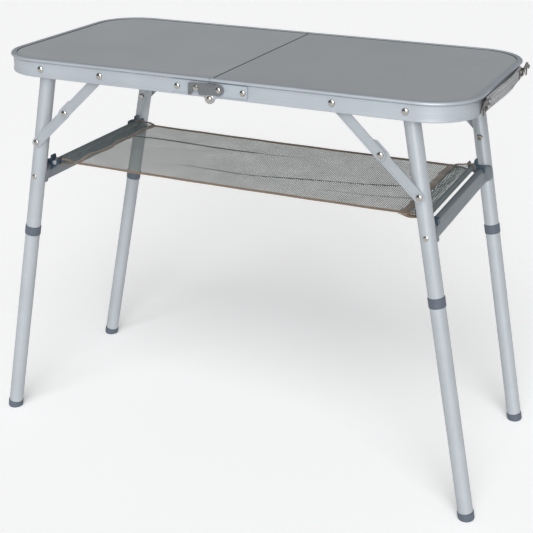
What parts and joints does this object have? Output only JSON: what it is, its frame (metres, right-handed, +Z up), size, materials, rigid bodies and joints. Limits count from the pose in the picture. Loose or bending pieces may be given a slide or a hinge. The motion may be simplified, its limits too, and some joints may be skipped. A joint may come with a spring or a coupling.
{
  "type": "camp kitchen table",
  "caption": "Folding camp kitchen table with a two-part rimmed top, splayed tube legs with plug-in extensions, folding braces, a hanging mesh shelf and a strap handle.",
  "frame": {"origin": "on the floor under the middle of the table top", "axes": "X along the table's length with the strap handle at +X, Y to the back, Z up"},
  "size_m": [0.8954, 0.4132, 0.673],
  "materials": {
    "anodised_rim": "satin anodised",
    "panel_grey": "matt laminate",
    "tube": "satin anodised",
    "bar_grey": "satin",
    "slate_plastic": "matt",
    "clip_plastic": "satin",
    "rod": "satin",
    "link": "satin anodised",
    "rivet": "bright nickel",
    "leaf": "satin",
    "hook": "dark satin",
    "fitting": "dark, worn",
    "webbing": "woven webbing",
    "mesh": "open mesh"
  },
  "bodies": {
    "left_top": {"left_rail": "anodised_rim", "left_panel": "panel_grey", "left_seam_bar": "tube", "left_front_pivot_rivet": "rivet", "left_front_brace_rivet": "rivet", "left_front_hinge_leaf": "leaf", "left_rear_pivot_rivet": "rivet", "left_rear_brace_rivet": "rivet", "left_rear_hinge_leaf": "leaf", "front_hinge_pin": "rivet", "rear_hinge_pin": "rivet", "shelf_mesh": "mesh"},
    "left_frame": {"left_crossbar": "bar_grey", "left_shelf_rod": "rod", "left_front_leg_upper": "tube", "left_front_leg_collar": "slate_plastic", "left_front_shelf_clip": "clip_plastic", "left_rear_leg_upper": "tube", "left_rear_leg_collar": "slate_plastic", "left_rear_shelf_clip": "clip_plastic"},
    "left_upper_braces": {"left_front_brace_upper": "link", "left_rear_brace_upper": "link"},
    "left_lower_braces": {"left_front_brace_lower": "link", "left_rear_brace_lower": "link"},
    "left_front_extension": {"left_front_leg_lower": "tube", "left_front_foot_cap": "slate_plastic"},
    "left_rear_extension": {"left_rear_leg_lower": "tube", "left_rear_foot_cap": "slate_plastic"},
    "right_top": {"right_rail": "anodised_rim", "right_panel": "panel_grey", "right_seam_bar": "tube", "right_front_pivot_rivet": "rivet", "right_front_brace_rivet": "rivet", "right_front_hinge_leaf": "leaf", "right_rear_pivot_rivet": "rivet", "right_rear_brace_rivet": "rivet", "right_rear_hinge_leaf": "leaf", "handle_strap": "webbing", "front_hasp_base": "fitting", "rear_hasp_base": "fitting"},
    "right_frame": {"right_crossbar": "bar_grey", "right_shelf_rod": "rod", "right_front_leg_upper": "tube", "right_front_leg_collar": "slate_plastic", "right_front_shelf_clip": "clip_plastic", "right_rear_leg_upper": "tube", "right_rear_leg_collar": "slate_plastic", "right_rear_shelf_clip": "clip_plastic"},
    "right_upper_braces": {"right_front_brace_upper": "link", "right_rear_brace_upper": "link"},
    "right_lower_braces": {"right_front_brace_lower": "link", "right_rear_brace_lower": "link"},
    "right_front_extension": {"right_front_leg_lower": "tube", "right_front_foot_cap": "slate_plastic"},
    "right_rear_extension": {"right_rear_leg_lower": "tube", "right_rear_foot_cap": "slate_plastic"},
    "front_hook": {"front_hinge_hook": "hook"},
    "front_hasp_hook": {"front_hasp": "fitting"},
    "rear_hook": {"rear_hinge_hook": "hook"},
    "rear_hasp_hook": {"rear_hasp": "fitting"}
  },
  "joints": [
    {"name": "top_fold", "type": "hinge", "parent": "left_top", "child": "right_top", "pos_m": [0, 0, 0.642], "axis": [0, -1, 0], "range_deg": [-20, 0]},
    {"name": "left_leg_fold", "type": "hinge", "parent": "left_top", "child": "left_frame", "pos_m": [-0.3048, 0, 0.6562], "axis": [0, -1, 0], "range_deg": [0, 60], "deforming": ["shelf_mesh"]},
    {"name": "right_leg_fold", "type": "hinge", "parent": "right_top", "child": "right_frame", "pos_m": [0.3048, 0, 0.6562], "axis": [0, -1, 0], "range_deg": [-60, 0]},
    {"name": "left_upper_brace_turn", "type": "hinge", "parent": "left_top", "child": "left_upper_braces", "pos_m": [-0.1946, 0, 0.6562], "axis": [0, -1, 0], "range_deg": [0, 89.74]},
    {"name": "left_lower_brace_turn", "type": "hinge", "parent": "left_frame", "child": "left_lower_braces", "pos_m": [-0.32996, 0, 0.5292], "axis": [0, -1, 0], "range_deg": [-96.1, 0]},
    {"name": "right_upper_brace_turn", "type": "hinge", "parent": "right_top", "child": "right_upper_braces", "pos_m": [0.1946, 0, 0.6562], "axis": [0, -1, 0], "range_deg": [-89.74, 0]},
    {"name": "right_lower_brace_turn", "type": "hinge", "parent": "right_frame", "child": "right_lower_braces", "pos_m": [0.32996, 0, 0.5292], "axis": [0, -1, 0], "range_deg": [0, 96.1]},
    {"name": "left_front_extension_pull", "type": "slide", "parent": "left_frame", "child": "left_front_extension", "axis": [-0.1943, 0, -0.9809], "range_m": [0, 0.045]},
    {"name": "left_rear_extension_pull", "type": "slide", "parent": "left_frame", "child": "left_rear_extension", "axis": [-0.1943, 0, -0.9809], "range_m": [0, 0.045]},
    {"name": "right_front_extension_pull", "type": "slide", "parent": "right_frame", "child": "right_front_extension", "axis": [0.1943, 0, -0.9809], "range_m": [0, 0.045]},
    {"name": "right_rear_extension_pull", "type": "slide", "parent": "right_frame", "child": "right_rear_extension", "axis": [0.1943, 0, -0.9809], "range_m": [0, 0.045]},
    {"name": "front_hook_swing", "type": "hinge", "parent": "right_top", "child": "front_hook", "pos_m": [0.0163, 0, 0.6572], "axis": [0, -1, 0], "range_deg": [-45, 0]},
    {"name": "rear_hook_swing", "type": "hinge", "parent": "right_top", "child": "rear_hook", "pos_m": [0.0163, 0, 0.6572], "axis": [0, -1, 0], "range_deg": [-45, 0]},
    {"name": "front_hasp_swing", "type": "hinge", "parent": "right_top", "child": "front_hasp_hook", "pos_m": [0.4, -0.115, 0.6566], "axis": [1, 0, 0], "range_deg": [0, 80]},
    {"name": "rear_hasp_swing", "type": "hinge", "parent": "right_top", "child": "rear_hasp_hook", "pos_m": [0.4, 0.115, 0.6566], "axis": [-1, 0, 0], "range_deg": [0, 80]}
  ],
  "couplings": [
    {"joint": "left_upper_brace_turn", "follows": "left_leg_fold", "ratio": 1.4955},
    {"joint": "left_lower_brace_turn", "follows": "left_leg_fold", "ratio": -1.6015},
    {"joint": "right_upper_brace_turn", "follows": "right_leg_fold", "ratio": 1.4955},
    {"joint": "right_lower_brace_turn", "follows": "right_leg_fold", "ratio": -1.6015}
  ]
}
